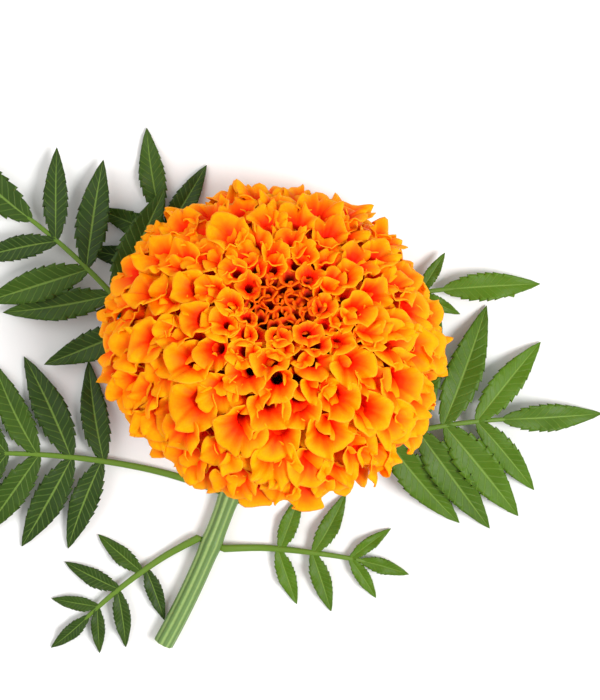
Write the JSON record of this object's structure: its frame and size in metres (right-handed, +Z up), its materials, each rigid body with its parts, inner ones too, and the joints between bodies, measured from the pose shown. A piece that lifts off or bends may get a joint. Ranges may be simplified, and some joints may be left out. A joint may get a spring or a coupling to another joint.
{
  "type": "marigold flower",
  "caption": "Picked African marigold: a fully double orange pompon head of ruffled petals on a short cut stem with feather-shaped green leaves, lying down",
  "frame": {"origin": "middle of the flower's bounding box in X and Y, at the surface it lies on", "axes": "+Z is up; +X is across the widest spread of the leaves; the head leans towards +Y and the cut end of the stem points to -Y"},
  "size_m": [0.1708, 0.128, 0.0554],
  "materials": {
    "petal": "matte",
    "centre": "matte",
    "stem": "satin",
    "leaf": "satin",
    "pad": "matte"
  },
  "bodies": {
    "root": {"petal_1_01": "petal", "petal_1_02": "petal", "petal_1_03": "petal", "petal_1_04": "petal", "petal_1_05": "petal", "petal_1_06": "petal", "petal_1_07": "petal", "petal_1_08": "petal", "petal_1_09": "petal", "petal_1_10": "petal", "petal_1_11": "petal", "petal_1_12": "petal", "petal_1_13": "petal", "petal_1_14": "petal", "petal_1_15": "petal", "petal_1_16": "petal", "petal_1_17": "petal", "petal_1_18": "petal", "petal_1_19": "petal", "petal_1_20": "petal", "petal_1_21": "petal", "petal_2_01": "petal", "petal_2_02": "petal", "petal_2_03": "petal", "petal_2_04": "petal", "petal_2_05": "petal", "petal_2_06": "petal", "petal_2_07": "petal", "petal_2_08": "petal", "petal_2_09": "petal", "petal_2_10": "petal", "petal_2_11": "petal", "petal_2_12": "petal", "petal_2_13": "petal", "petal_2_14": "petal", "petal_2_15": "petal", "petal_2_16": "petal", "petal_2_17": "petal", "petal_2_18": "petal", "petal_2_19": "petal", "petal_2_20": "petal", "petal_2_21": "petal", "petal_whorl_3": "petal", "petal_whorl_4": "petal", "petal_whorl_5": "petal", "petal_whorl_6": "petal", "petal_whorl_7": "petal", "petal_whorl_8": "petal", "disc_florets": "centre", "involucre": "stem", "receptacle": "pad", "stem": "stem", "leaf_right": "leaf", "leaf_upper_right": "leaf", "leaf_upper_left": "leaf", "leaf_left": "leaf", "leaf_lower_left": "leaf", "leaf_bottom_left": "leaf", "leaf_bottom_right": "leaf"}
  },
  "joints": []
}
